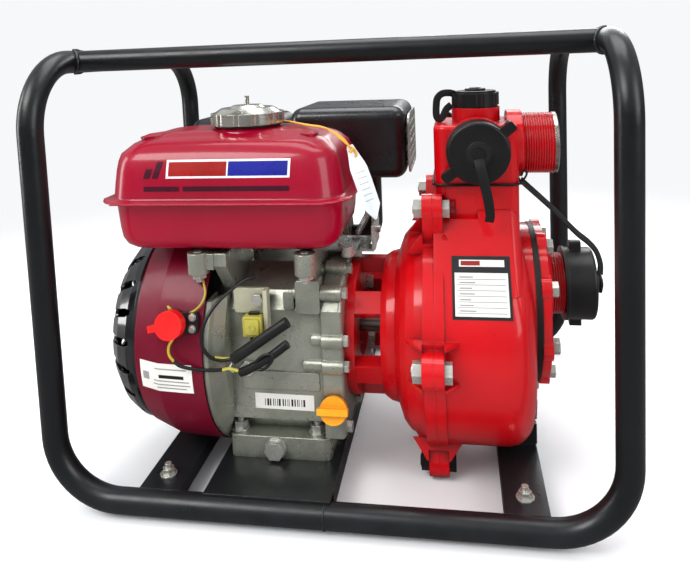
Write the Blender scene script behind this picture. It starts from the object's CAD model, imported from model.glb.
"""Looks of the portable fire pump: materials, fitted pieces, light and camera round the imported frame."""

import math
import random

import bpy
import numpy as np
from mathutils import Matrix, Vector


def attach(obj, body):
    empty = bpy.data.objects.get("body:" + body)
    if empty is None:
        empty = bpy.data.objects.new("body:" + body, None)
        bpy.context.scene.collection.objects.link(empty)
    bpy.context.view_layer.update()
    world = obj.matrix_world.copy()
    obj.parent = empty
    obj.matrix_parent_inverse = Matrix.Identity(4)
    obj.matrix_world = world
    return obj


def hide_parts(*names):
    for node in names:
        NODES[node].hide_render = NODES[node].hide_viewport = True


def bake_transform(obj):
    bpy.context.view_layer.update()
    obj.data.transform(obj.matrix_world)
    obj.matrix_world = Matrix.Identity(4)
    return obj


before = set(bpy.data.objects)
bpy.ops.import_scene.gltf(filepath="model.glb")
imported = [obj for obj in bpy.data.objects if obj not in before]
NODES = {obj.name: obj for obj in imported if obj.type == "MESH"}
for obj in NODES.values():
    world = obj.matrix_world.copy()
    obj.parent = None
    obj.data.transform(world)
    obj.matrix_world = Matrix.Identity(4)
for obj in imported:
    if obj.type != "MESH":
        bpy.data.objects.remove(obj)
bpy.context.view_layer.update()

AX_Y, AX_Z = -0.048, 0.134          # crank and pump axis
random.seed(7)


# ------------------------------------------------------------------ materials

def lin(r, g, b):
    """An sRGB colour in 0-255 as linear light."""
    out = []
    for c in (r, g, b):
        c = c / 255.0
        out.append(c / 12.92 if c <= 0.04045 else ((c + 0.055) / 1.055) ** 2.4)
    return (out[0], out[1], out[2], 1.0)


class Tree:
    """A small helper for building a node tree."""

    def __init__(self, name):
        self.mat = bpy.data.materials.new(name)
        self.mat.use_nodes = True
        self.nt = self.mat.node_tree
        self.nt.nodes.clear()
        self.out = self.nt.nodes.new("ShaderNodeOutputMaterial")
        self.bsdf = self.nt.nodes.new("ShaderNodeBsdfPrincipled")
        self.nt.links.new(self.bsdf.outputs[0], self.out.inputs[0])
        self.co = self.nt.nodes.new("ShaderNodeTexCoord").outputs["Object"]

    def link(self, a, b):
        self.nt.links.new(a, b)

    def noise(self, scale, detail=3.0, rough=0.55, distort=0.0, coord=None, out="Fac"):
        n = self.nt.nodes.new("ShaderNodeTexNoise")
        n.inputs["Scale"].default_value = scale
        n.inputs["Detail"].default_value = detail
        n.inputs["Roughness"].default_value = rough
        n.inputs["Distortion"].default_value = distort
        self.link(coord or self.co, n.inputs["Vector"])
        return n.outputs[out]

    def ramp(self, value, a, b, lo=0.0, hi=1.0, smooth=False):
        n = self.nt.nodes.new("ShaderNodeMapRange")
        if smooth:
            n.interpolation_type = "SMOOTHSTEP"
        n.inputs["From Min"].default_value = a
        n.inputs["From Max"].default_value = b
        n.inputs["To Min"].default_value = lo
        n.inputs["To Max"].default_value = hi
        self.link(value, n.inputs["Value"])
        return n.outputs["Result"]

    def maths(self, op, a, b=None):
        n = self.nt.nodes.new("ShaderNodeMath")
        n.operation = op
        for i, v in enumerate((a, b)):
            if v is None:
                continue
            if isinstance(v, (int, float)):
                n.inputs[i].default_value = v
            else:
                self.link(v, n.inputs[i])
        return n.outputs[0]

    def mix(self, fac, a, b, mode="MIX"):
        n = self.nt.nodes.new("ShaderNodeMix")
        n.data_type = "RGBA"
        n.blend_type = mode
        n.clamp_factor = True
        for key, v in ((0, fac), (6, a), (7, b)):
            if isinstance(v, (int, float)):
                n.inputs[key].default_value = v
            elif isinstance(v, tuple):
                n.inputs[key].default_value = v
            else:
                self.link(v, n.inputs[key])
        return n.outputs[2]

    def stretched(self, x, y, z):
        n = self.nt.nodes.new("ShaderNodeMapping")
        n.inputs["Scale"].default_value = (x, y, z)
        self.link(self.co, n.inputs["Vector"])
        return n.outputs[0]

    def put(self, key, v):
        s = self.bsdf.inputs[key]
        if isinstance(v, (int, float, tuple)):
            s.default_value = v
        else:
            self.link(v, s)


def finish_of(name, base, dark=None, metal=0.0, rough=0.4, spread=0.08, coat=0.0, coat_rough=0.04,
              grain=0.0, grain_scale=900.0, ripple=0.0, ripple_scale=60.0, blotch=14.0, blotch_amt=0.5,
              edge=None, edge_amt=0.0, bevel=0.0007, dirt=0.0, dirt_colour=None, speck=0.0,
              speck_colour=None, brushed=None, spec=0.5, sheen=0.0, fade=None):
    """One procedural finish: two-tone blotches, grain, worn edges, grime in corners, uneven gloss."""
    t = Tree(name)
    dark = dark or tuple(c * 0.7 for c in base[:3]) + (1.0,)
    blot = t.ramp(t.noise(blotch, 5.0, 0.6, 0.4), 0.35, 0.68, 0.0, blotch_amt)
    colour = t.mix(blot, base, dark)
    fine = t.noise(grain_scale, 2.0, 0.6)
    if grain > 0:
        colour = t.mix(t.ramp(fine, 0.3, 0.75, 0.0, min(0.35, grain)), colour, dark)
    if brushed:
        lines = t.noise(1.0, 3.0, 0.6, 0.0, t.stretched(*brushed))
        colour = t.mix(t.ramp(lines, 0.35, 0.7, 0.0, 0.35), colour, dark)
    if speck > 0:
        pits = t.ramp(t.noise(grain_scale * 0.35, 2.0, 0.7), 0.66, 0.72)
        colour = t.mix(t.maths("MULTIPLY", pits, speck), colour, speck_colour or dark)
    if fade:
        # (axis index, from, to, colour, amount): a slow change along one axis, such as dust near the ground
        sep = t.nt.nodes.new("ShaderNodeSeparateXYZ")
        t.link(t.co, sep.inputs[0])
        slow = t.ramp(sep.outputs[fade[0]], fade[1], fade[2], fade[4], 0.0, True)
        slow = t.maths("MULTIPLY", slow, t.ramp(t.noise(40.0, 4.0, 0.7), 0.3, 0.75, 0.3, 1.0))
        colour = t.mix(slow, colour, fade[3])
    roughness = t.ramp(t.noise(45.0, 4.0, 0.65), 0.3, 0.7, max(0.02, rough - spread), rough + spread)
    normal = None
    if bevel > 0:
        bev = t.nt.nodes.new("ShaderNodeBevel")
        bev.samples = 4
        bev.inputs["Radius"].default_value = bevel
        normal = bev.outputs[0]
        if edge is not None and edge_amt > 0:
            geo = t.nt.nodes.new("ShaderNodeNewGeometry")
            dot = t.nt.nodes.new("ShaderNodeVectorMath")
            dot.operation = "DOT_PRODUCT"
            t.link(bev.outputs[0], dot.inputs[0])
            t.link(geo.outputs["Normal"], dot.inputs[1])
            worn = t.ramp(dot.outputs["Value"], 0.985, 0.86, 0.0, 1.0)
            broken = t.ramp(t.noise(260.0, 4.0, 0.7), 0.42, 0.6)
            worn = t.maths("MULTIPLY", t.maths("MULTIPLY", worn, broken), edge_amt)
            colour = t.mix(worn, colour, edge)
    if dirt > 0:
        ao = t.nt.nodes.new("ShaderNodeAmbientOcclusion")
        ao.samples = 4
        ao.inputs["Distance"].default_value = 0.012
        grime = t.ramp(ao.outputs["AO"], 0.35, 0.85, dirt, 0.0)
        grime = t.maths("MULTIPLY", grime, t.ramp(t.noise(120.0, 4.0, 0.7), 0.25, 0.7, 0.4, 1.0))
        colour = t.mix(grime, colour, dirt_colour or lin(34, 30, 26))
    t.put("Base Color", colour)
    t.put("Metallic", metal)
    t.put("Roughness", roughness)
    t.put("Specular IOR Level", spec)
    if coat > 0:
        t.put("Coat Weight", coat)
        t.put("Coat Roughness", t.ramp(t.noise(70.0, 3.0, 0.6), 0.3, 0.7, coat_rough * 0.6, coat_rough * 1.6))
    if sheen > 0:
        t.put("Sheen Weight", sheen)
    last = normal
    if grain > 0:
        b = t.nt.nodes.new("ShaderNodeBump")
        b.inputs["Strength"].default_value = min(1.0, grain)
        b.inputs["Distance"].default_value = 0.0004
        t.link(fine, b.inputs["Height"])
        if last is not None:
            t.link(last, b.inputs["Normal"])
        last = b.outputs[0]
    if ripple > 0:
        b = t.nt.nodes.new("ShaderNodeBump")
        b.inputs["Strength"].default_value = min(1.0, ripple)
        b.inputs["Distance"].default_value = 0.0015
        t.link(t.noise(ripple_scale, 2.0, 0.5), b.inputs["Height"])
        if last is not None:
            t.link(last, b.inputs["Normal"])
        last = b.outputs[0]
    if last is not None:
        t.link(last, t.bsdf.inputs["Normal"])
    return t.mat


STEEL = lin(176, 174, 168)
M = {
    "frame_black": finish_of("frame_black", lin(15, 18, 20), lin(9, 11, 12), spec=0.42, rough=0.33, spread=0.07, grain=0.12,
                             grain_scale=1500, edge=lin(120, 122, 122), edge_amt=0.35, bevel=0.0008, blotch_amt=0.6,
                             ripple=0.05, ripple_scale=110, fade=(2, 0.0, 0.05, lin(60, 66, 70), 0.25), dirt=0.3),
    "black_rubber": finish_of("black_rubber", lin(17, 17, 18), lin(26, 25, 24), spec=0.35, rough=0.5, spread=0.1, grain=0.2,
                              grain_scale=1300, bevel=0.0006, dirt=0.2, dirt_colour=lin(70, 66, 60)),
    "zinc_steel": finish_of("zinc_steel", lin(214, 214, 206), lin(158, 156, 146), metal=0.72, rough=0.26, spread=0.09,
                            grain=0.1, grain_scale=1600, blotch=90, bevel=0.0005, edge=lin(235, 235, 230),
                            edge_amt=0.5, dirt=0.5, dirt_colour=lin(60, 54, 44)),
    "cast_aluminium": finish_of("cast_aluminium", lin(190, 192, 178), lin(142, 146, 132), metal=0.7, rough=0.33,
                                spread=0.1, grain=0.4, grain_scale=700, ripple=0.14, ripple_scale=90, blotch=22,
                                blotch_amt=0.8, edge=lin(224, 224, 214), edge_amt=0.65, bevel=0.0014, dirt=0.95,
                                dirt_colour=lin(26, 25, 20), speck=0.35, speck_colour=lin(74, 74, 64)),
    "crimson_paint": finish_of("crimson_paint", lin(154, 0, 38), lin(116, 0, 24), rough=0.34, spread=0.05, coat=0.42,
                               coat_rough=0.06, ripple=0.02, ripple_scale=90, blotch=6, blotch_amt=0.45, spec=0.22,
                               bevel=0.001, edge=lin(206, 40, 84), edge_amt=0.2, dirt=0.45, dirt_colour=lin(40, 4, 10)),
    "pump_red": finish_of("pump_red", lin(196, 0, 12), lin(158, 0, 8), spec=0.22, rough=0.34, spread=0.07, coat=0.45,
                          coat_rough=0.07, ripple=0.14, ripple_scale=75, grain=0.05, grain_scale=520, blotch=9,
                          blotch_amt=0.45, bevel=0.0022, edge=lin(232, 66, 70), edge_amt=0.2, dirt=0.7,
                          dirt_colour=lin(52, 2, 6)),
    "black_plastic": finish_of("black_plastic", lin(17, 17, 18), lin(11, 11, 12), spec=0.4, rough=0.38, spread=0.08, grain=0.15,
                               grain_scale=1100, bevel=0.0008, edge=lin(84, 84, 84), edge_amt=0.3, dirt=0.25,
                               dirt_colour=lin(74, 70, 64)),
    "black_gloss": finish_of("black_gloss", lin(15, 15, 17), lin(24, 24, 26), rough=0.16, spread=0.05, coat=0.8,
                             coat_rough=0.04, ripple=0.03, ripple_scale=120, bevel=0.0008, edge=lin(96, 96, 98),
                             edge_amt=0.25, dirt=0.2, dirt_colour=lin(70, 64, 56)),
    "muffler_black": finish_of("muffler_black", lin(20, 21, 23), lin(12, 12, 13), rough=0.3, spread=0.08, grain=0.12,
                               grain_scale=900, bevel=0.001, edge=lin(88, 86, 82), edge_amt=0.4, coat=0.3,
                               coat_rough=0.12, dirt=0.2),
    "bright_metal": finish_of("bright_metal", lin(220, 218, 208), lin(168, 164, 150), metal=0.9, rough=0.2,
                              spread=0.06, ripple=0.05, ripple_scale=200, blotch=60, bevel=0.0006, dirt=0.45,
                              dirt_colour=lin(70, 62, 48)),
    "switch_red": finish_of("switch_red", lin(232, 18, 16), lin(190, 8, 8), rough=0.33, spread=0.06, grain=0.06,
                            grain_scale=900, bevel=0.0007, edge=lin(245, 96, 88), edge_amt=0.25, dirt=0.2),
    "yellow_plastic": finish_of("yellow_plastic", lin(248, 168, 10), lin(232, 128, 6), rough=0.36, spread=0.06,
                                grain=0.06, grain_scale=900, bevel=0.0007, edge=lin(255, 214, 96), edge_amt=0.3,
                                dirt=0.35, dirt_colour=lin(120, 66, 10)),
    "cream_plastic": finish_of("cream_plastic", lin(214, 212, 188), lin(176, 174, 140), metal=0.35, rough=0.36,
                               spread=0.08, grain=0.08, bevel=0.0005, dirt=0.4, edge=lin(240, 240, 224), edge_amt=0.4),
    "machined_steel": finish_of("machined_steel", lin(168, 166, 160), lin(118, 116, 110), metal=1.0, rough=0.3,
                                spread=0.08, brushed=(900, 60, 60), bevel=0.0004, dirt=0.3),
    "cast_iron": finish_of("cast_iron", lin(78, 76, 72), lin(52, 48, 44), metal=0.7, rough=0.55, spread=0.1,
                           grain=0.5, grain_scale=600, bevel=0.0008, dirt=0.3, speck=0.3,
                           speck_colour=lin(96, 58, 34)),
    "filter_foam": finish_of("filter_foam", lin(40, 42, 44), lin(28, 29, 31), rough=0.9, spread=0.05, grain=1.0,
                             grain_scale=500, bevel=0.0),
}
M["wire_black"] = finish_of("wire_black", lin(18, 18, 19), lin(30, 30, 30), rough=0.33, spread=0.08, grain=0.1,
                            grain_scale=1400, bevel=0.0)
M["wire_yellow"] = finish_of("wire_yellow", lin(186, 168, 40), lin(140, 124, 26), rough=0.4, spread=0.08, grain=0.1,
                             grain_scale=1400, bevel=0.0)
M["connector_yellow"] = finish_of("connector_yellow", lin(196, 188, 78), lin(158, 148, 48), rough=0.42, spread=0.08,
                                  grain=0.15, grain_scale=900, bevel=0.0005, dirt=0.4, dirt_colour=lin(80, 74, 30))
M["cord_yellow"] = finish_of("cord_yellow", lin(238, 176, 28), lin(196, 132, 12), rough=0.7, spread=0.08, grain=0.6,
                             grain_scale=1500, bevel=0.0, sheen=0.3)
M["tag_white"] = finish_of("tag_white", lin(226, 230, 236), lin(196, 204, 214), rough=0.3, spread=0.08, grain=0.05,
                           blotch=30, bevel=0.0, coat=0.3)
M["label_white"] = finish_of("label_white", lin(228, 226, 220), lin(206, 202, 192), rough=0.42, spread=0.06,
                             grain=0.05, blotch=30, bevel=0.0, blotch_amt=0.4)
M["label_black"] = finish_of("label_black", lin(16, 16, 18), lin(24, 24, 26), rough=0.32, spread=0.06, bevel=0.0)
M["label_grey"] = finish_of("label_grey", lin(150, 150, 150), lin(120, 120, 120), rough=0.45, spread=0.06, bevel=0.0)
M["mark_white"] = finish_of("mark_white", lin(236, 234, 236), lin(216, 210, 216), rough=0.3, spread=0.05, bevel=0.0)
M["mark_blue"] = finish_of("mark_blue", lin(22, 30, 140), lin(14, 20, 104), rough=0.3, spread=0.05, bevel=0.0)
M["mark_dark_red"] = finish_of("mark_dark_red", lin(150, 22, 16), lin(118, 14, 10), rough=0.3, spread=0.05, bevel=0.0)
M["mark_plum"] = finish_of("mark_plum", lin(60, 4, 30), lin(44, 2, 20), rough=0.3, spread=0.05, bevel=0.0)
M["weld_metal"] = finish_of("weld_metal", lin(34, 36, 38), lin(20, 21, 22), rough=0.4, spread=0.1, ripple=0.5,
                            ripple_scale=300, grain=0.2, bevel=0.0, edge_amt=0)
M["bare_thread"] = finish_of("bare_thread", lin(206, 200, 190), lin(150, 120, 112), metal=1.0, rough=0.28,
                             spread=0.08, blotch=60, bevel=0.0003, brushed=(60, 700, 700))
M["black_oxide"] = finish_of("black_oxide", lin(26, 27, 28), lin(14, 14, 15), metal=0.6, rough=0.34, spread=0.08,
                             grain=0.2, bevel=0.0005, edge=lin(120, 118, 112), edge_amt=0.4)
M["rope"] = finish_of("rope", lin(40, 40, 42), lin(22, 22, 24), rough=0.8, spread=0.08, grain=0.8, grain_scale=900,
                      bevel=0.0)

for name, o in NODES.items():
    slots = [m.name.split(".")[0] for m in o.data.materials]
    for i, s in enumerate(slots):
        if s in M:
            o.data.materials[i] = M[s]

# the fan housing's paint is a deeper shade than the tank's
housing = NODES["fan_housing"]
M["crimson_deep"] = finish_of("crimson_deep", lin(112, 0, 34), lin(80, 0, 22), rough=0.4, spread=0.05, coat=0.15,
                              coat_rough=0.16, blotch=6, blotch_amt=0.45, spec=0.2, bevel=0.001,
                              edge=lin(190, 40, 84), edge_amt=0.2, dirt=0.45, dirt_colour=lin(34, 4, 10))
for i in range(len(housing.data.materials)):
    housing.data.materials[i] = M["crimson_deep"]

# the lowest pair of casing screws is blackened
screws = NODES["pump_screws"]
screws.data.materials.append(M["black_oxide"])
dark_slot = len(screws.data.materials) - 1
for poly in screws.data.polygons:
    c = screws.matrix_world @ poly.center
    if 0.076 < c.x < 0.118 and c.z < 0.045:
        poly.material_index = dark_slot


# ------------------------------------------------------------------ mesh tools

def made(name, verts, faces, mat, body="frame", sharp=38.0, bevel=0.0, segments=2):
    """A mesh object in the row frame, in metres, riding on a body."""
    me = bpy.data.meshes.new(name)
    me.from_pydata([tuple(float(c) for c in v) for v in verts], [], [tuple(f) for f in faces])
    me.validate()
    me.update()
    for p in me.polygons:
        p.use_smooth = True
    me.set_sharp_from_angle(angle=math.radians(sharp))
    me.materials.append(mat if not isinstance(mat, str) else M[mat])
    ob = bpy.data.objects.new(name, me)
    bpy.context.scene.collection.objects.link(ob)
    if bevel > 0:
        b = ob.modifiers.new("round", "BEVEL")
        b.width = bevel
        b.segments = segments
        b.limit_method = "ANGLE"
        b.angle_limit = math.radians(32)
        b.harden_normals = True
    if body is not None:
        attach(ob, body)
    return ob


def mm(*p):
    return Vector((p[0] / 1000.0, p[1] / 1000.0, p[2] / 1000.0))


def smooth_path(points, steps=10, closed=False):
    """Catmull-Rom through the points."""
    pts = [Vector(p) for p in points]
    n = len(pts)
    out = []
    spans = n if closed else n - 1
    for i in range(spans):
        if closed:
            p0, p1, p2, p3 = pts[(i - 1) % n], pts[i], pts[(i + 1) % n], pts[(i + 2) % n]
        else:
            p1, p2 = pts[i], pts[i + 1]
            p0 = pts[i - 1] if i > 0 else p1 * 2 - p2
            p3 = pts[i + 2] if i + 2 < n else p2 * 2 - p1
        for k in range(steps):
            t = k / steps
            out.append(0.5 * ((2 * p1) + (p2 - p0) * t + (2 * p0 - 5 * p1 + 4 * p2 - p3) * t * t
                              + (3 * p1 - p0 - 3 * p2 + p3) * t ** 3))
    if not closed:
        out.append(pts[-1])
    return out


def swept_mesh(path, ring, up=None, closed=False, scale=None):
    """Sweeps a closed ring of (a, b) along the path; returns verts and faces with capped ends."""
    n = len(path)
    tang = []
    for i in range(n):
        a = path[(i - 1) % n] if closed or i > 0 else path[0]
        b = path[(i + 1) % n] if closed or i < n - 1 else path[-1]
        tang.append((b - a).normalized())
    ref = Vector(up) if up is not None else Vector((0.13, 0.31, 0.94))
    nrm = (ref - tang[0] * ref.dot(tang[0])).normalized()
    verts, faces = [], []
    m = len(ring)
    for i in range(n):
        if up is not None:
            nrm = (ref - tang[i] * ref.dot(tang[i])).normalized()
        else:
            nrm = (nrm - tang[i] * nrm.dot(tang[i])).normalized()
        bi = tang[i].cross(nrm)
        s = scale[i] if scale else 1.0
        for a, b in ring:
            verts.append(path[i] + nrm * a * s + bi * b * s)
    spans = n if closed else n - 1
    for i in range(spans):
        j = (i + 1) % n
        for k in range(m):
            l = (k + 1) % m
            faces.append((i * m + k, i * m + l, j * m + l, j * m + k))
    if not closed:
        faces.append(tuple(reversed(range(m))))
        faces.append(tuple((n - 1) * m + k for k in range(m)))
    return verts, faces


def circle(r, seg=14):
    return [(r * math.cos(2 * math.pi * k / seg), r * math.sin(2 * math.pi * k / seg)) for k in range(seg)]


def tube(name, points, r, mat, body="frame", steps=10, seg=14, closed=False, scale=None):
    path = smooth_path([mm(*p) for p in points], steps, closed)
    v, f = swept_mesh(path, circle(r / 1000.0, seg), closed=closed)
    return made(name, v, f, mat, body, sharp=50)


def ribbon(name, points, w, h, mat, body="frame", up=(0, 0, 1), steps=10, taper_to=None):
    """A flat strap with rounded edges, w across and h thick; up is the strap's thickness direction."""
    path = smooth_path([mm(*p) for p in points], steps)
    ring = []
    hw, hh = w / 2000.0, h / 2000.0
    c = min(hh, hw) * 0.8
    for sx, sy, a0 in ((1, 1, 0), (-1, 1, 90), (-1, -1, 180), (1, -1, 270)):
        for k in range(4):
            a = math.radians(a0 + 30 * k)
            ring.append((sy * (hh - c) + c * math.sin(a), sx * (hw - c) + c * math.cos(a)))
    sc = None
    if taper_to:
        n = len(path)
        sc = [1 + (taper_to - 1) * (i / (n - 1)) for i in range(n)]
    v, f = swept_mesh(path, ring, up=up, scale=sc)
    return made(name, v, f, mat, body, sharp=60)


def lathe(name, profile, origin, axis, mat, body="frame", seg=64, sharp=32, bevel=0.0, wobble=None):
    """Turns a closed profile of (radius, along) in mm about an axis through origin. wobble(angle, r, along) scales r."""
    ax = Vector(axis).normalized()
    u = Vector((0, 0, 1)) if abs(ax.z) < 0.9 else Vector((1, 0, 0))
    u = (u - ax * u.dot(ax)).normalized()
    w = ax.cross(u)
    o = mm(*origin)
    verts, faces = [], []
    n = len(profile)
    for k in range(seg):
        a = 2 * math.pi * k / seg
        d = u * math.cos(a) + w * math.sin(a)
        for r, z in profile:
            rr = r * (wobble(a, r, z) if wobble else 1.0)
            verts.append(o + d * rr / 1000.0 + ax * z / 1000.0)
    for k in range(seg):
        l = (k + 1) % seg
        for i in range(n):
            j = (i + 1) % n
            faces.append((k * n + i, k * n + j, l * n + j, l * n + i))
    me_verts, keep = [], {}
    index = []
    for v in verts:
        key = (round(v.x, 7), round(v.y, 7), round(v.z, 7))
        if key not in keep:
            keep[key] = len(me_verts)
            me_verts.append(v)
        index.append(keep[key])
    clean = []
    for f in faces:
        g = []
        for i in f:
            if index[i] not in g:
                g.append(index[i])
        if len(g) > 2:
            clean.append(g)
    return made(name, me_verts, clean, mat, body, sharp=sharp, bevel=bevel)


def rounded_rect(hx, hy, r, per=8):
    """Points of a rounded rectangle, anticlockwise, per points on each corner."""
    pts = []
    r = min(r, hx - 0.01, hy - 0.01)
    for cx, cy, a0 in ((hx - r, hy - r, 0), (-hx + r, hy - r, 90), (-hx + r, -hy + r, 180), (hx - r, -hy + r, 270)):
        for k in range(per):
            a = math.radians(a0 + 90.0 * k / (per - 1))
            pts.append((cx + r * math.cos(a), cy + r * math.sin(a)))
    return pts


def divided(ring, per, sides=6):
    """Adds points on the straight run after each corner so that the loft can bulge there."""
    out = []
    n = len(ring)
    for i in range(n):
        out.append(ring[i])
        if i % per == per - 1:
            for k in range(1, sides):
                t = k / sides
                out.append((ring[i][0] + (ring[(i + 1) % n][0] - ring[i][0]) * t,
                            ring[i][1] + (ring[(i + 1) % n][1] - ring[i][1]) * t))
    return out


def grid_faces(rows, m, cap_start=True, cap_end=True):
    faces = []
    for i in range(rows - 1):
        for k in range(m):
            l = (k + 1) % m
            faces.append((i * m + k, i * m + l, (i + 1) * m + l, (i + 1) * m + k))
    if cap_start:
        faces.append(tuple(reversed(range(m))))
    if cap_end:
        faces.append(tuple((rows - 1) * m + k for k in range(m)))
    return faces


def patch(name, fn, nu, nv, thick, mat, body="frame"):
    """A thin sheet: fn(u, v) gives (point, outward normal) for u, v in 0..1; thick in metres."""
    top, bottom = [], []
    for i in range(nu + 1):
        for j in range(nv + 1):
            p, nml = fn(i / nu, j / nv)
            bottom.append(p)
            top.append(p + nml * thick)
    m = nv + 1
    size = (nu + 1) * m
    faces = []
    for i in range(nu):
        for j in range(nv):
            a = i * m + j
            faces.append((a, a + m, a + m + 1, a + 1))
            faces.append((size + a, size + a + 1, size + a + m + 1, size + a + m))
    edge = [i * m for i in range(nu + 1)] + [nu * m + j for j in range(1, nv + 1)]
    edge += [i * m + nv for i in range(nu - 1, -1, -1)] + [j for j in range(nv - 1, 0, -1)]
    for k in range(len(edge)):
        a, b = edge[k], edge[(k + 1) % len(edge)]
        faces.append((b, a, size + a, size + b))
    return made(name, top + bottom, faces, mat, body, sharp=60)


# ------------------------------------------------------------------ fuel tank

TX0, TX1, TY0, TY1 = -203.0, 20.0, -155.0, -17.0
SEAM = 287.0
TCX, TCY = (TX0 + TX1) / 2, (TY0 + TY1) / 2
HX, HY = (TX1 - TX0) / 2, (TY1 - TY0) / 2


def tank_ring(inset, r, z, per=8):
    ring = divided(rounded_rect(HX - inset, HY - inset, r, per), per, 14)
    return [(TCX + x, TCY + y, z) for x, y in ring]


def tz(z):
    """Stretches a height on the drawn tank profile to the tank's floor, seam and top."""
    if z < 280.3:
        return 238.2 + (z - 241.0) * (286.3 - 238.2) / (280.3 - 241.0)
    return 286.3 + (z - 280.3) * (348.0 - 286.3) / (343.0 - 280.3)


def tank_shape():
    rows = []
    # lower shell, from the inner edge of the floor to the seam
    for inset, r, z in ((60, 12, 241.0), (34, 14, 241.0), (22, 16, 241.3), (14.5, 18, 242.6), (8.8, 22, 245.8),
                        (5.2, 25, 251.0), (3.6, 27, 258.0), (2.6, 28, 268.0), (1.6, 29, 277.2), (0.6, 29, 278.6),
                        (-1.6, 30, 279.2), (-6.6, 33, 279.3), (-7.8, 34, 279.6), (-8.2, 34, 280.3), (-7.8, 34, 281.2),
                        (-6.6, 33, 281.7), (-2.2, 31, 281.9), (-0.4, 30, 282.6), (0.3, 29, 284.4), (1.4, 29, 296.0),
                        (3.2, 28, 309.0), (5.0, 27, 317.5), (7.4, 26, 324.0), (11.2, 25, 329.8), (16.5, 24, 334.2),
                        (23.0, 23, 337.0), (29.0, 22, 338.3), (33.0, 21, 339.4), (36.5, 20, 341.2), (41.0, 18, 342.4),
                        (50.0, 14, 342.9), (60.0, 8, 343.0)):
        rows.append(tank_ring(inset, r, tz(z)))
    m = len(rows[0])
    verts = []
    for row in rows:
        for x, y, z in row:
            # the top panel falls a little towards its edges and is pressed down in a dish round the filler
            if z > 335:
                d = math.hypot(x - TCX, (y - TCY) * 1.2)
                z = z - 2.4 * (d / 110.0) ** 2
            verts.append(mm(x, y, z))
    return verts, grid_faces(len(rows), m), m


v, f, m = tank_shape()
tank = made("fuel_tank_shell", v, f, "crimson_paint", "frame", sharp=58)
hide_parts("fuel_tank_upper", "fuel_tank_lower")

# pressed swages on the tank's top and the raised collar under the filler cap
FX, FY = -81.5, -86.0
lathe("filler_collar", [(24.5, 340.0), (37.0, 340.0), (34.6, 346.0), (31.0, 348.6), (28.5, 350.6), (27.4, 354.6),
                        (26.6, 355.2), (24.5, 355.2)], (FX, FY, 0), (0, 0, 1), "crimson_paint", seg=72)


def swage(name, a, b, w, h):
    pa, pb = Vector(a), Vector(b)
    n = 26
    d = (pb - pa)
    side = Vector((-d.y, d.x, 0)).normalized()
    verts, m = [], 11
    for i in range(n + 1):
        t = i / n
        p = pa.lerp(pb, t)
        end = min(1.0, min(t, 1 - t) / 0.14)
        end = math.sin(end * math.pi / 2)
        for k in range(m):
            s = -1 + 2 * k / (m - 1)
            up = h * end * (math.cos(s * math.pi) + 1) / 2
            verts.append(mm(*(p + side * (w * s * (0.35 + 0.65 * end)) + Vector((0, 0, up)))))
        for k in range(m - 1, -1, -1):
            s = -1 + 2 * k / (m - 1)
            verts.append(mm(*(p + side * (w * s * (0.35 + 0.65 * end)) + Vector((0, 0, -2.4)))))
    return made(name, verts, grid_faces(n + 1, 2 * m), "crimson_paint", "frame", sharp=70)


swage("tank_swage_left", (-176, -122, 343.4), (-132, -56, 345.2), 9, 2.4)
swage("tank_swage_right", (-10, -122, 343.2), (-40, -60, 345.6), 9, 2.4)

# seam weld line and tank feet pads under the flange
tube("tank_seam_bead", [(x, y, 286.4) for x, y in [(TCX + px, TCY + py) for px, py in
     rounded_rect(HX + 8.2, HY + 8.2, 34, 9)]], 0.75, "crimson_paint", steps=3, seg=8,
     closed=True)


# ------------------------------------------------------------------ marks and labels (no lettering)

def tank_front(x, z):
    """A point just off the tank's front face."""
    prof = [(tz(a), b) for a, b in [(281.9, -2.2), (284.4, 0.3), (296.0, 1.4), (309.0, 3.2), (317.5, 5.0), (324.0, 7.4),
                                    (329.8, 11.2)]]
    for (z0, i0), (z1, i1) in zip(prof, prof[1:]):
        if z <= z1:
            t = (z - z0) / (z1 - z0)
            inset = i0 + (i1 - i0) * t
            slope = (i1 - i0) / (z1 - z0)
            break
    n = Vector((0, -1, slope)).normalized()
    return mm(x, TY0 + inset, z), n


def front_patch(name, x0, x1, z0, z1, mat, lift=0.00025, lean=0.0):
    def fn(u, w):
        z = z0 + (z1 - z0) * w
        x = x0 + (x1 - x0) * u + lean * (z - z0)
        p, n = tank_front(x, z)
        return p + n * (lift - 0.0002), n
    return patch(name, fn, 24, 10, 0.0002, mat)


front_patch("tank_mark_backing", -140.5, -24.5, 308.5, 325.0, "mark_white", 0.0003, 0.06)
front_patch("tank_mark_left", -138.2, -83.2, 310.4, 323.1, "mark_dark_red", 0.0005, 0.06)
front_patch("tank_mark_right", -81.6, -26.6, 310.4, 323.1, "mark_blue", 0.0005, 0.06)
front_patch("tank_mark_slash", -154, -148.5, 308.5, 323.5, "mark_plum", 0.0004, 0.35)
front_patch("tank_mark_slash_2", -162.5, -156.5, 308.5, 317.0, "mark_plum", 0.0004, 0.35)
front_patch("tank_mark_line", -162, -128, 297.0, 301.2, "mark_plum", 0.0004)
front_patch("tank_mark_line_2", -124, -25, 297.0, 301.2, "mark_plum", 0.0004)


def drum_patch(name, x0, x1, z0, z1, r, mat, lift=0.00025, nu=14, nv=18, thick=0.0002):
    """On a cylinder of radius r (mm) round the crank axis, on its front side."""
    def fn(u, w):
        x = x0 + (x1 - x0) * u
        z = z0 + (z1 - z0) * w
        rr = r(x) if callable(r) else r
        s = (z / 1000.0 - AX_Z) / (rr / 1000.0)
        s = max(-0.99, min(0.99, s))
        c = math.sqrt(1 - s * s)
        n = Vector((0, -c, s))
        return Vector((x / 1000.0, AX_Y, AX_Z)) + n * (rr / 1000.0 + lift - thick), n
    return patch(name, fn, nu, nv, thick, mat)


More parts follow.
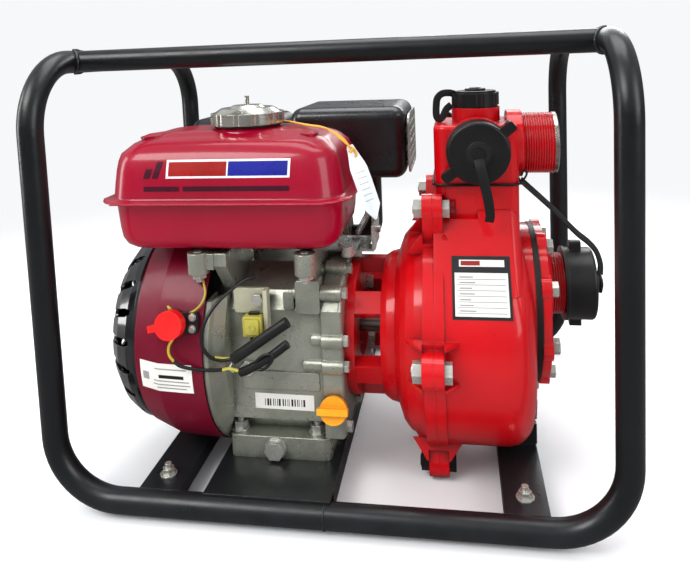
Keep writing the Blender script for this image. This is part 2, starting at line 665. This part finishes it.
def scroll_patch(name, x0, x1, z0, z1, mat, lift=0.0003, nu=4, nv=16, thick=0.0002):
    """On the volute's front: the drum below 197 mm, the flat run of the scroll up to the tower above it."""
    def fn(u, w):
        x, z = x0 + (x1 - x0) * u, z0 + (z1 - z0) * w
        if z < 197.0:
            s = (z - 134.0) / 110.0
            n = Vector((0, -math.sqrt(1 - s * s), s))
            p = Vector((x, -48.0, 134.0)) + n * 110.0
        else:
            n = Vector((0, -67.0, 47.0)).normalized()
            p = Vector((x, -138.0 + (z - 197.0) * 47.0 / 67.0, z)) + n * 0.15
        return p / 1000.0 + n * (lift - thick), n
    return patch(name, fn, nu, nv, thick, mat)


scroll_patch("spec_plate_border", 114.5, 166.0, 180.5, 227.5, "label_black", 0.0004, thick=0.0004)
scroll_patch("spec_plate_panel", 116.9, 163.6, 182.9, 214.8, "label_white", 0.0006)
scroll_patch("spec_plate_bar", 121.0, 161.0, 219.4, 224.6, "label_white", 0.0006)
scroll_patch("spec_plate_bar_red", 122.5, 139.5, 220.3, 223.7, "mark_dark_red", 0.0008)
for k in range(7):
    zz = 185.2 + 4.1 * k
    scroll_patch(f"spec_plate_rule_{k}", 119.0, 161.5, zz, zz + 0.45, "label_grey", 0.0008, nv=2)
    scroll_patch(f"spec_plate_dash_{k}", 121.0, 135.0 - (k * 37 % 5), zz + 1.4, zz + 2.3, "label_grey", 0.0008, nv=2)

# ------------------------------------------------------------------ small helpers for fasteners and fitted parts

def prism(name, centre, axis, flats, height, mat, body="frame", bevel=0.6, sides=6, turn_by=0.0):
    """A chamfered nut or screw head: centre of its seat, axis it stands on, width across flats, in mm."""
    ax = Vector(axis).normalized()
    u = Vector((0, 0, 1)) if abs(ax.z) < 0.9 else Vector((1, 0, 0))
    u = (u - ax * u.dot(ax)).normalized()
    w = ax.cross(u)
    r = flats / 2 / math.cos(math.pi / sides)
    c = mm(*centre)
    verts, rows = [], [(0.0, r), (height - bevel, r), (height, r - bevel * 1.2)]
    for h, rr in rows:
        for k in range(sides):
            a = 2 * math.pi * k / sides + turn_by
            verts.append(c + ax * h / 1000 + (u * math.cos(a) + w * math.sin(a)) * rr / 1000)
    return made(name, verts, grid_faces(len(rows), sides), mat, body, sharp=20, bevel=0.00025)


def rounded_block(name, lo, hi, r, mat, body="frame", bevel=0.0008, axis="y"):
    """A block with rounded corners in the plane square to the axis, and softened rims."""
    (x0, y0, z0), (x1, y1, z1) = lo, hi
    if axis == "y":
        ring = [((x0 + x1) / 2 + a, (z0 + z1) / 2 + b) for a, b in rounded_rect((x1 - x0) / 2, (z1 - z0) / 2, r, 6)]
        verts = [mm(a, y, b) for y in (y1, y0) for a, b in ring]
    elif axis == "x":
        ring = [((y0 + y1) / 2 + a, (z0 + z1) / 2 + b) for a, b in rounded_rect((y1 - y0) / 2, (z1 - z0) / 2, r, 6)]
        verts = [mm(x, a, b) for x in (x0, x1) for a, b in ring]
    else:
        ring = [((x0 + x1) / 2 + a, (y0 + y1) / 2 + b) for a, b in rounded_rect((x1 - x0) / 2, (y1 - y0) / 2, r, 6)]
        verts = [mm(a, b, z) for z in (z0, z1) for a, b in ring]
    return made(name, verts, grid_faces(2, len(ring)), mat, body, sharp=35, bevel=bevel, segments=3)


def helix(name, a, b, coil, wire, turns, mat, body="frame", steps=14):
    a, b = Vector(a), Vector(b)
    d = (b - a)
    ax = d.normalized()
    u = ax.orthogonal().normalized()
    w = ax.cross(u)
    n = int(turns * steps)
    pts = [mm(*a)]
    for i in range(n + 1):
        t = i / n
        ang = 2 * math.pi * turns * t
        rr = coil * min(1.0, min(t, 1 - t) / 0.06 + 0.05)
        p = a + d * (0.08 + 0.84 * t) + (u * math.cos(ang) + w * math.sin(ang)) * rr
        pts.append(mm(*p))
    pts.append(mm(*b))
    v, f = swept_mesh(pts, circle(wire / 1000, 8))
    return made(name, v, f, mat, body, sharp=60)


def raised(x, y, z, deg=10.9):
    """A point of the stop switch, drawn level, turned up round the crank axis."""
    c, s = math.cos(math.radians(deg)), math.sin(math.radians(deg))
    yy, zz = y + 48.0, z - 134.0
    return (x, -48.0 + yy * c + zz * s, 134.0 - yy * s + zz * c)


# ------------------------------------------------------------------ filler neck, cord and tag

lathe("filler_gasket", [(27.6, 348.6), (32.6, 348.6), (33.2, 349.4), (33.2, 350.4), (32.6, 350.8), (27.6, 350.8)],
      (FX, FY, 0), (0, 0, 1), "black_rubber", seg=64)

cord_points = [(FX + 6, FY + 31.5, 351.8), (FX + 24, FY + 24, 351.6), (-52, -70, 351.4), (-36, -84, 350.2),
               (-18, -99, 349.0), (-2, -112, 348.2), (10, -121, 344.6), (20.5, -127, 338.6), (26.0, -127, 331.5)]
tube("tag_cord_a", cord_points, 0.95, "cord_yellow", steps=8, seg=8)
tube("tag_cord_b", [(x + 1.6 * math.sin(i * 1.7), y - 2.2, z + 0.8 * math.cos(i * 2.1)) for i, (x, y, z) in
                    enumerate(cord_points)], 0.95, "cord_yellow", steps=8, seg=8)
tube("tag_cord_ring", [(FX + 32.0 * math.cos(a), FY + 32.0 * math.sin(a), 351.6 + 0.4 * math.sin(3 * a)) for a in
                       [2 * math.pi * k / 20 for k in range(20)]], 0.95, "cord_yellow", steps=4, seg=8, closed=True)
tube("tag_cord_knot", [(26, -127, 331.5), (29, -129, 329.5), (26.8, -128.5, 326.5), (24, -126, 329),
                       (26.5, -125, 331), (30.5, -126.5, 328), (32, -127, 324), (29.5, -126.5, 320.5)], 1.1, "cord_yellow",
     steps=8, seg=8)


def tag_point(u, w):
    """u across, w down a hanging card that curls a little."""
    top, low = Vector((25.8, -125.5, 332.5)), Vector((47.5, -128.5, 264.5))
    along = low - top
    wide = Vector((0.80, 0.42, 0.20)).normalized()
    half = 8.2 * min(1.0, 0.34 + w * 2.2) * min(1.0, (1.02 - w) * 5.0)
    p = top + along * w + wide * half * (2 * u - 1)
    bulge = 3.0 * math.sin(math.pi * w) + 1.6 * math.sin(2 * math.pi * u + 0.6) * w
    n = along.normalized().cross(wide).normalized()
    if n.y > 0:
        n = -n
    return mm(*(p + n * bulge)), n


patch("hang_tag", tag_point, 8, 22, 0.0006, "tag_white")


def tag_rule(k):
    def fn(u, w):
        p, n = tag_point(0.22 + 0.56 * u, 0.36 + 0.075 * k + 0.008 * w)
        return p + n * 0.0006, n
    return fn


for k in range(6):
    patch(f"hang_tag_rule_{k}", tag_rule(k), 6, 1, 0.0001, "label_grey")

# ------------------------------------------------------------------ wiring at the stop switch and oil unit

sleeve_a = tube("loom_sleeve_a", [(-87, -148, 138), (-79, -148.6, 143.5), (-66, -148.4, 152.5), (-50, -147.4, 163.5),
                                  (-35, -146, 173.5)], 5.3, "wire_black", steps=8, seg=18)
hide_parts("ignition_wiring")
tube("loom_sleeve_b", [(-80, -151, 126.5), (-71, -152.6, 131), (-58, -153, 138.5), (-46, -152, 146.5), (-34.5, -150.5, 155)],
     4.2, "wire_black", steps=8, seg=16, scale=None)
tube("loom_loop", [(-66, -154, 134), (-60, -156.5, 143), (-51.5, -156.5, 147.5), (-47.5, -156, 144.5), (-50.5, -156, 138),
                   (-58, -155.5, 132)], 1.5, "wire_black", steps=8, seg=10, closed=True)
tube("lead_black_a", [(-70, -126.5, 209), (-77, -134, 208.5), (-87, -144, 202.5), (-99, -156, 192), (-107, -164.5, 178),
                      (-109.5, -168, 162), (-105, -165, 148.5), (-97, -158, 141), (-87, -149, 138.2)], 1.7, "wire_black")
tube("lead_black_b", [(-137, -167.5, 142.5), (-130, -168, 138.5), (-117, -165.5, 135), (-104, -160, 132),
                      (-96, -156.5, 131)], 1.6, "wire_black")
tube("lead_yellow_a", [(-140, -160, 189), (-145, -155.6, 189.4), (-141, -156.4, 185.6), (-126, -156.6, 183.6),
                       (-115.5, -154, 189.5), (-111.5, -148, 198.5), (-115, -141, 207), (-120, -134.5, 213)], 1.0,
     "wire_yellow")
tube("lead_yellow_b", [(-138, -164.5, 163), (-141.8, -166, 156), (-141.5, -167, 148.5), (-137, -167.5, 142.5)], 1.25,
     "wire_yellow")
tube("lead_yellow_c", [(-96, -156.5, 131), (-90, -154.5, 131.5), (-84.5, -153, 129.5), (-79, -151.5, 127.5)], 1.5,
     "connector_yellow")
tube("lead_yellow_d", [(-101, -161, 144.5), (-96, -156, 141.5), (-90, -151, 139)], 1.6, "connector_yellow")
tube("lead_twist", [(-88, -150, 135), (-90, -153, 131), (-86, -154, 127.5)], 0.9, "zinc_steel")
tube("lead_unit_a", [(-73, -134, 156.5), (-73.5, -136, 150), (-76, -141, 146), (-82, -146.5, 142)], 1.4, "wire_black")
tube("lead_unit_b", [(-69.5, -134, 156.5), (-69.5, -137, 149), (-73, -142, 146.5), (-79, -147, 144)], 1.4, "wire_yellow")

rounded_block("unit_connector", (-80.5, -138.5, 154.5), (-62.0, -128.9, 174.0), 1.8, "connector_yellow", bevel=0.0007)
rounded_block("unit_connector_cap", (-78.2, -140.0, 157.0), (-64.4, -138.3, 171.6), 1.5, "connector_yellow", bevel=0.0005)
lathe("unit_connector_mark", [(2.2, 139.8), (3.6, 139.8), (3.6, 140.6), (2.2, 140.6)], (-71.3, 0, 164.2), (0, -1, 0),
      "connector_yellow", seg=32, bevel=0.0002)
rounded_block("unit_latch", (-76, -133.2, 173.8), (-66, -129.6, 176.6), 1.0, "black_plastic", bevel=0.0004)

prism("sensor_plug_hex", (-81.5, -123.6, 118.2), (0, -1, 0), 14, 5.2, "zinc_steel", turn_by=0.3)
lathe("sensor_plug_ring", [(2.9, 128.6), (4.8, 128.6), (4.8, 130.2), (2.9, 130.2)], (-81.5, 0, 118.2), (0, -1, 0),
      "zinc_steel", seg=32, bevel=0.0002)
lathe("sensor_plug_core", [(0.001, 128.6), (2.8, 128.6), (2.8, 130.8), (1.2, 131.6), (0.001, 131.6)],
      (-81.5, 0, 118.2), (0, -1, 0), "black_rubber", seg=28)

for i, zz in enumerate((159.2, 148.8)):
    c = raised(-120.6, -166.0, zz)
    up_axis = (0, -math.cos(math.radians(10.9)), math.sin(math.radians(10.9)))
    prism(f"switch_screw_{i}", c, up_axis, 5.4, 2.0, "zinc_steel", turn_by=0.4 * i, bevel=0.5)
    lathe(f"switch_washer_{i}", [(0.001, 0.0), (3.7, 0.0), (3.7, 0.6), (0.001, 0.6)], c, up_axis, "zinc_steel", seg=28,
          bevel=0.0002)

# ------------------------------------------------------------------ labels on the engine (blank or plain rules)

HOUSING = [(-186, 100.0), (-183, 103.5), (-157, 113.2), (-132, 115.0), (-112, 115.5)]


def housing_r(x):
    for (x0, r0), (x1, r1) in zip(HOUSING, HOUSING[1:]):
        if x <= x1:
            return r0 + (r1 - r0) * (x - x0) / (x1 - x0)
    return HOUSING[-1][1]


drum_patch("fan_label", -177.5, -122.5, 109.6, 137.4, housing_r, "label_white", 0.0005, nu=26, nv=8)
drum_patch("fan_label_bar", -156, -131, 123.2, 126.4, housing_r, "label_black", 0.0007, nu=10, nv=3)
for k, (zz, a, b) in enumerate(((131.6, -160, -128), (119.8, -162, -126), (116.2, -163, -125), (112.9, -159, -129))):
    drum_patch(f"fan_label_rule_{k}", a, b, zz, zz + 1.1, housing_r, "label_grey", 0.0007, nu=14, nv=2)
drum_patch("fan_label_spot", -174.5, -167.5, 119.5, 127.0, housing_r, "label_grey", 0.0007, nu=6, nv=4)


def front_plate(name, x0, x1, z0, z1, y, thick, mat, shear=0.0):
    v = [mm(x0, y, z0), mm(x1, y, z0 + shear), mm(x1, y, z1 + shear), mm(x0, y, z1),
         mm(x0, y - thick, z0), mm(x1, y - thick, z0 + shear), mm(x1, y - thick, z1 + shear), mm(x0, y - thick, z1)]
    f = [(3, 2, 1, 0), (4, 5, 6, 7), (0, 1, 5, 4), (1, 2, 6, 5), (2, 3, 7, 6), (3, 0, 4, 7)]
    return made(name, v, f, mat)


front_plate("crankcase_label", -76.5, -18.5, 77.6, 93.0, -123.9, 0.35, "label_white", -0.8)
xx = -67.0
for k in range(17):
    wdt = (0.7, 1.3, 0.5, 1.9, 0.9)[(k * 3) % 5]
    front_plate(f"crankcase_label_bar_{k}", xx, xx + wdt, 80.6, 87.6, -124.2, 0.12, "label_black", -0.0)
    xx += wdt + (1.5, 0.8, 1.9, 1.1)[k % 4]

# raised cast pads and lines on the crankcase front
rounded_block("cast_pad_wide", (-88, -125.0, 97.0), (-12, -123.8, 115.0), 2.2, "cast_aluminium",
              bevel=0.0005)
rounded_block("cast_pad_line", (-64, -125.2, 113.6), (-46, -124.9, 115.4), 0.8, "cast_aluminium",
              bevel=0.0003)
rounded_block("cast_pad_upper", (-44, -125.2, 176.5), (-33.5, -123.9, 194.0), 2.0, "cast_aluminium",
              bevel=0.0005)
rounded_block("cast_rib_left", (-102, -125.4, 70), (-97.2, -123.9, 168), 1.6, "cast_aluminium",
              bevel=0.0006)

# ------------------------------------------------------------------ cap straps

rounded_block("tower_seat_filler", (119, -90.05, 255.5), (141, -86, 279), 1.0, "pump_red")
front_strap = ribbon("front_cap_strap", [(140.8, -121.4, 317.0), (142.4, -124.0, 308), (145.6, -125.2, 294),
                                         (148.4, -124.0, 279), (149.6, -120.6, 266), (148.8, -116.6, 259.6)], 9.6, 2.4, "black_rubber",
                     up=(0, 1, 0.05), steps=8, taper_to=0.85)
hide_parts("cap_straps")
lathe("front_strap_eye", [(5.9, 119.6), (10.2, 119.6), (10.2, 122.0), (5.9, 122.0)], (141, 0, 321), (0, -1, 0),
      "black_rubber", seg=44, bevel=0.0004)
ribbon("rear_cap_strap", [(141, 25.2, 316.5), (141, 26.6, 305), (139, 27.0, 288), (136, 25.0, 272), (133, 19.0, 262)],
       11.0, 2.6, "black_rubber", up=(0, 1, 0.05), steps=8, taper_to=0.9)
lathe("rear_strap_eye", [(5.9, 23.6), (10.2, 23.6), (10.2, 26.0), (5.9, 26.0)], (141, 0, 321), (0, 1, 0),
      "black_rubber", seg=44, bevel=0.0004)
lathe("suction_strap_eye", [(5.4, 256.4), (9.6, 256.4), (9.6, 258.6), (5.4, 258.6)], (0, -48, 180), (1, 0, 0),
      "black_rubber", seg=44, bevel=0.0004)
ribbon("suction_cap_strap", [(180.6, -82, 290.5), (186.5, -80, 284.5), (198, -75, 273.0), (213, -67.5, 257.5),
                             (225, -61, 243.5), (236, -55, 231.5), (246, -51, 222.5), (254, -49, 212.5), (258.0, -48, 200),
                             (257.8, -48, 188)], 8.2, 1.6, "black_rubber", up=(0.52, -0.55, 0.66), steps=8)
ribbon("priming_cap_strap", [(121.5, -50, 370.8), (116, -52, 372.6), (109, -54, 372.2), (104.2, -55, 368.0),
                             (102.8, -55.5, 361), (102.6, -56, 351.5), (104.5, -56, 347.5), (108.5, -56, 349),
                             (112.5, -55, 356.5), (117.6, -54, 361.0)], 7.0, 2.4, "black_rubber",
       up=(0.02, 1.0, 0.0), steps=8)
lathe("priming_strap_eye", [(5.9, 374.2), (10.2, 374.2), (10.2, 376.0), (5.9, 376.0)], (141, -48, 0), (0, 0, 1),
      "black_rubber", seg=44, bevel=0.0004)
ring = rounded_rect(40.9, 43.9, 12.6, 7)
tube("tower_cord", [(139.5 + x, -48 + y, 289 + (1.6 * math.cos(x * 0.06) if y < 0 else 0) - 2.2 * math.sin((x + 40) * 0.038) * (1 if y < -30 else 0.3))
                    for x, y in ring], 1.15, "black_rubber", steps=3, seg=8, closed=True)
tube("tower_cord_tail", [(180.6, -82, 290), (184, -84, 293), (186, -82, 297.5), (183.5, -79, 299), (181, -80, 294)], 1.0,
     "black_rubber", steps=6, seg=8)

# bare metal at the open outlet's mouth
lathe("outlet_bare_ring", [(25.05, 216.0), (25.05, 217.4), (29.0, 217.4), (30.05, 216.4), (30.05, 213.2),
                           (29.7, 213.2), (29.7, 216.2), (28.9, 216.95), (25.4, 216.95), (25.4, 216.0)],
      (0, -48, 321), (1, 0, 0), "bare_thread", seg=96)

clip = [(176, 25.2), (192.4, 25.2), (192.4, 45.5), (185.5, 45.5), (185.5, 50.5), (192.4, 50.5), (193.4, 70), (190, 71.6),
        (190, 75.5), (185.5, 75.5), (184.5, 71.6), (182, 70)]
made("bracket_clip", [mm(x, y, z) for y in (-66, -74) for x, z in clip], grid_faces(2, len(clip)), "frame_black",
     sharp=35, bevel=0.0006)

# ------------------------------------------------------------------ welds on the frame

R = 11.25


def saddle(name, sx, y0):
    pts = []
    for k in range(48):
        a = 2 * math.pi * k / 48
        rough_r = R + 0.35 + 0.35 * math.sin(k * 2.6) * math.cos(k * 1.1)
        pts.append((sx * (253 - R * abs(math.sin(a)) - 0.6), y0 + rough_r * math.sin(a), 418 + rough_r * math.cos(a)))
    return tube(name, pts, 1.35, "weld_metal", steps=2, seg=8, closed=True)


for sx in (-1, 1):
    for y0 in (-104, 104):
        saddle(f"weld_rail_{'l' if sx < 0 else 'r'}_{'f' if y0 < 0 else 'b'}", sx, y0)
for y0, nm in ((-180, "f"), (180, "b")):
    tube(f"weld_butt_{nm}", [(0.5 * math.sin(k * 2.2), y0 + (R + 0.2) * math.cos(2 * math.pi * k / 30),
                              14 + (R + 0.2) * math.sin(2 * math.pi * k / 30)) for k in range(30)], 0.75, "weld_metal",
         steps=2, seg=8, closed=True)


def bead(name, a, b, r=1.5):
    a, b = Vector(a), Vector(b)
    n = max(8, int((b - a).length / 3.0))
    pts = []
    for k in range(n + 1):
        p = a.lerp(b, k / n)
        pts.append((p.x, p.y + 0.35 * math.sin(k * 2.4), p.z + 0.3 * math.cos(k * 1.9)))
    sc = None
    return tube(name, pts, r, "weld_metal", steps=3, seg=8)


for sy, nm in ((-1, "f"), (1, "b")):
    bead(f"weld_plate_{nm}_0", (-108, sy * 172.5, 22.6), (-78, sy * 172.5, 22.6))
    bead(f"weld_plate_{nm}_1", (-28, sy * 172.5, 22.6), (2, sy * 172.5, 22.6))
    bead(f"weld_left_channel_{nm}", (-174, sy * 169.4, 20.4), (-142, sy * 169.4, 20.4))
    bead(f"weld_right_channel_{nm}", (157, sy * 169.4, 20.4), (189, sy * 169.4, 20.4))

# ------------------------------------------------------------------ hoses, leads and springs at the back

tube("plug_lead", [(-66, 47, 262), (-72, 34, 267), (-78, 14, 260), (-90, -8, 246), (-104, -24, 237), (-116, -36, 231)],
     3.2, "wire_black", seg=16)
tube("fuel_hose", [(-100, -30, 241), (-100, -20, 239), (-102, 6, 238), (-106, 36, 236), (-112, 58, 226),
                   (-119, 68, 210), (-122, 72, 198)], 3.3, "wire_black", seg=16)
for i, (p, ax) in enumerate((((-100, -30, 240.2), (0, 0, -1)), ((-119, 68, 210), (-0.2, 0.3, -0.9)))):
    lathe(f"hose_clip_{i}", [(3.4, -1.6), (4.3, -1.6), (4.3, 1.6), (3.4, 1.6)], p, ax, "zinc_steel", seg=28,
          bevel=0.0003)
spring = helix("governor_spring", (16, -52, 226), (32, -26, 254), 2.9, 0.55, 17, "zinc_steel", body=None)
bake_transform(spring)
spring2 = helix("throttle_spring", (0, -56, 219), (10, -80, 221.5), 2.6, 0.5, 12, "zinc_steel", body=None)
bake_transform(spring2)

rope = tube("starter_rope", [(-213, 33 + 1.05 * k, 174) for k in range(25)], 2.0, "rope", body=None, steps=1, seg=10)
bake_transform(rope)

# ------------------------------------------------------------------ camera, light, floor

cam_data = bpy.data.cameras.new("photo_camera")
cam = bpy.data.objects.new("photo_camera", cam_data)
bpy.context.scene.collection.objects.link(cam)
yaw, pitch, roll = 0.1628, 0.0869, -0.0403
fwd = Vector((-math.sin(yaw) * math.cos(pitch), math.cos(yaw) * math.cos(pitch), -math.sin(pitch)))
right = fwd.cross(Vector((0, 0, 1))).normalized()
upv = right.cross(fwd).normalized()
r2 = right * math.cos(roll) + upv * math.sin(roll)
u2 = upv * math.cos(roll) - right * math.sin(roll)
home = Vector((0.12212, -0.70851, 0.41439))
rot = Matrix((r2, u2, -fwd)).transposed().to_4x4()
cam.matrix_world = Matrix.Translation(home) @ rot
cam_data.sensor_width = 36.0
cam_data.lens = 34.256
cam_data.clip_start = 0.02
cam_data.clip_end = 60.0
bpy.context.scene.camera = cam


def home_shift(prop, value):
    """The lens shift holds only at the camera's home place, so that a moved camera stays centred."""
    d = cam_data.driver_add(prop).driver
    d.type = "SCRIPTED"
    for nm, kind in (("x", "LOC_X"), ("y", "LOC_Y")):
        var = d.variables.new()
        var.name = nm
        var.type = "TRANSFORMS"
        var.targets[0].id = cam
        var.targets[0].transform_type = kind
        var.targets[0].transform_space = "WORLD_SPACE"
    d.expression = f"{value} if abs(x - {home.x:.5f}) < 0.002 and abs(y + {-home.y:.5f}) < 0.002 else 0.0"


home_shift("shift_x", -0.00545)
home_shift("shift_y", -0.2591)

scene = bpy.context.scene
scene.view_settings.view_transform = "Standard"
scene.view_settings.look = "None"

world = bpy.data.worlds.new("studio")
scene.world = world
world.use_nodes = True
wn = world.node_tree
wn.nodes.clear()
wout = wn.nodes.new("ShaderNodeOutputWorld")
tc = wn.nodes.new("ShaderNodeTexCoord")
sep = wn.nodes.new("ShaderNodeSeparateXYZ")
ramp = wn.nodes.new("ShaderNodeValToRGB")
ramp.color_ramp.elements[0].position = 0.36
ramp.color_ramp.elements[0].color = (0.30, 0.29, 0.28, 1)
ramp.color_ramp.elements[1].position = 0.75
ramp.color_ramp.elements[1].color = (0.92, 0.96, 1.0, 1)
e = ramp.color_ramp.elements.new(0.52)
e.color = (0.24, 0.25, 0.27, 1)
mapr = wn.nodes.new("ShaderNodeMapRange")
mapr.inputs["From Min"].default_value = -1
mapr.inputs["From Max"].default_value = 1
bg_light = wn.nodes.new("ShaderNodeBackground")
bg_light.inputs["Strength"].default_value = 0.85
bg_cam = wn.nodes.new("ShaderNodeBackground")
bg_cam.inputs["Color"].default_value = (0.93, 0.94, 0.95, 1)
bg_cam.inputs["Strength"].default_value = 1.0
path = wn.nodes.new("ShaderNodeLightPath")
mixw = wn.nodes.new("ShaderNodeMixShader")
wn.links.new(tc.outputs["Generated"], sep.inputs[0])
wn.links.new(sep.outputs["Z"], mapr.inputs["Value"])
wn.links.new(mapr.outputs["Result"], ramp.inputs["Fac"])
wn.links.new(ramp.outputs["Color"], bg_light.inputs["Color"])
gloss = wn.nodes.new("ShaderNodeMapRange")
gloss.inputs["To Min"].default_value = 1.0
gloss.inputs["To Max"].default_value = 0.62
wn.links.new(path.outputs["Is Glossy Ray"], gloss.inputs["Value"])
wn.links.new(gloss.outputs["Result"], bg_light.inputs["Strength"])
wn.links.new(path.outputs["Is Camera Ray"], mixw.inputs[0])
wn.links.new(bg_light.outputs[0], mixw.inputs[1])
wn.links.new(bg_cam.outputs[0], mixw.inputs[2])
wn.links.new(mixw.outputs[0], wout.inputs[0])


def softbox(name, loc, target, sx, sy, power, colour=(1, 1, 1)):
    d = bpy.data.lights.new(name, "AREA")
    d.shape = "RECTANGLE"
    d.size, d.size_y = sx, sy
    d.energy = power
    d.color = colour
    o = bpy.data.objects.new(name, d)
    bpy.context.scene.collection.objects.link(o)
    o.location = loc
    o.rotation_mode = "QUATERNION"
    o.rotation_quaternion = (Vector(target) - Vector(loc)).to_track_quat("-Z", "Y")
    return o


softbox("key_soft", (-0.9, -1.2, 1.55), (-0.02, -0.05, 0.2), 1.1, 0.8, 26, (1.0, 0.98, 0.96))
softbox("fill_soft", (1.5, -1.0, 0.9), (0.05, 0.0, 0.2), 0.9, 1.1, 12, (0.96, 0.98, 1.0))
softbox("top_soft", (0.1, 0.2, 1.7), (0.0, 0.0, 0.2), 1.4, 0.9, 16)
softbox("rim_soft", (0.5, 1.6, 1.1), (0.0, 0.0, 0.25), 1.2, 0.6, 14)
softbox("left_strip", (-1.5, -0.25, 0.55), (0.0, 0.0, 0.2), 0.35, 1.0, 7)

fr = 9.0
floor_mesh = bpy.data.meshes.new("floor")
seg = 96
floor_mesh.from_pydata([(fr * math.cos(2 * math.pi * k / seg), fr * math.sin(2 * math.pi * k / seg), 0.0)
                        for k in range(seg)], [], [tuple(range(seg))])
floor = bpy.data.objects.new("floor", floor_mesh)
bpy.context.scene.collection.objects.link(floor)
pale = finish_of("floor_pale", (0.84, 0.84, 0.845, 1), (0.80, 0.80, 0.80, 1), rough=0.7,
                 spread=0.08, blotch=1.2, blotch_amt=0.3, bevel=0.0, spec=0.1)
pn = pale.node_tree
far = pn.nodes.new("ShaderNodeEmission")
far.inputs["Color"].default_value = (0.93, 0.94, 0.95, 1)
tex = pn.nodes.new("ShaderNodeTexCoord")
dist = pn.nodes.new("ShaderNodeVectorMath")
dist.operation = "LENGTH"
pn.links.new(tex.outputs["Object"], dist.inputs[0])
fader = pn.nodes.new("ShaderNodeMapRange")
fader.interpolation_type = "SMOOTHERSTEP"
fader.inputs["From Min"].default_value = 0.45
fader.inputs["From Max"].default_value = 1.5
pn.links.new(dist.outputs["Value"], fader.inputs["Value"])
both = pn.nodes.new("ShaderNodeMixShader")
principled = next(n for n in pn.nodes if n.type == "BSDF_PRINCIPLED")
outnode = next(n for n in pn.nodes if n.type == "OUTPUT_MATERIAL")
pn.links.new(fader.outputs["Result"], both.inputs[0])
pn.links.new(principled.outputs[0], both.inputs[1])
pn.links.new(far.outputs[0], both.inputs[2])
# seen in the paint, the floor is a good deal darker than it is to the eye
lp = pn.nodes.new("ShaderNodeLightPath")
dull = pn.nodes.new("ShaderNodeBsdfDiffuse")
dull.inputs["Color"].default_value = (0.17, 0.16, 0.16, 1)
seen = pn.nodes.new("ShaderNodeMixShader")
pn.links.new(lp.outputs["Is Glossy Ray"], seen.inputs[0])
pn.links.new(both.outputs[0], seen.inputs[1])
pn.links.new(dull.outputs[0], seen.inputs[2])
pn.links.new(seen.outputs[0], outnode.inputs[0])
floor_mesh.materials.append(pale)
floor.location.z = -0.0003
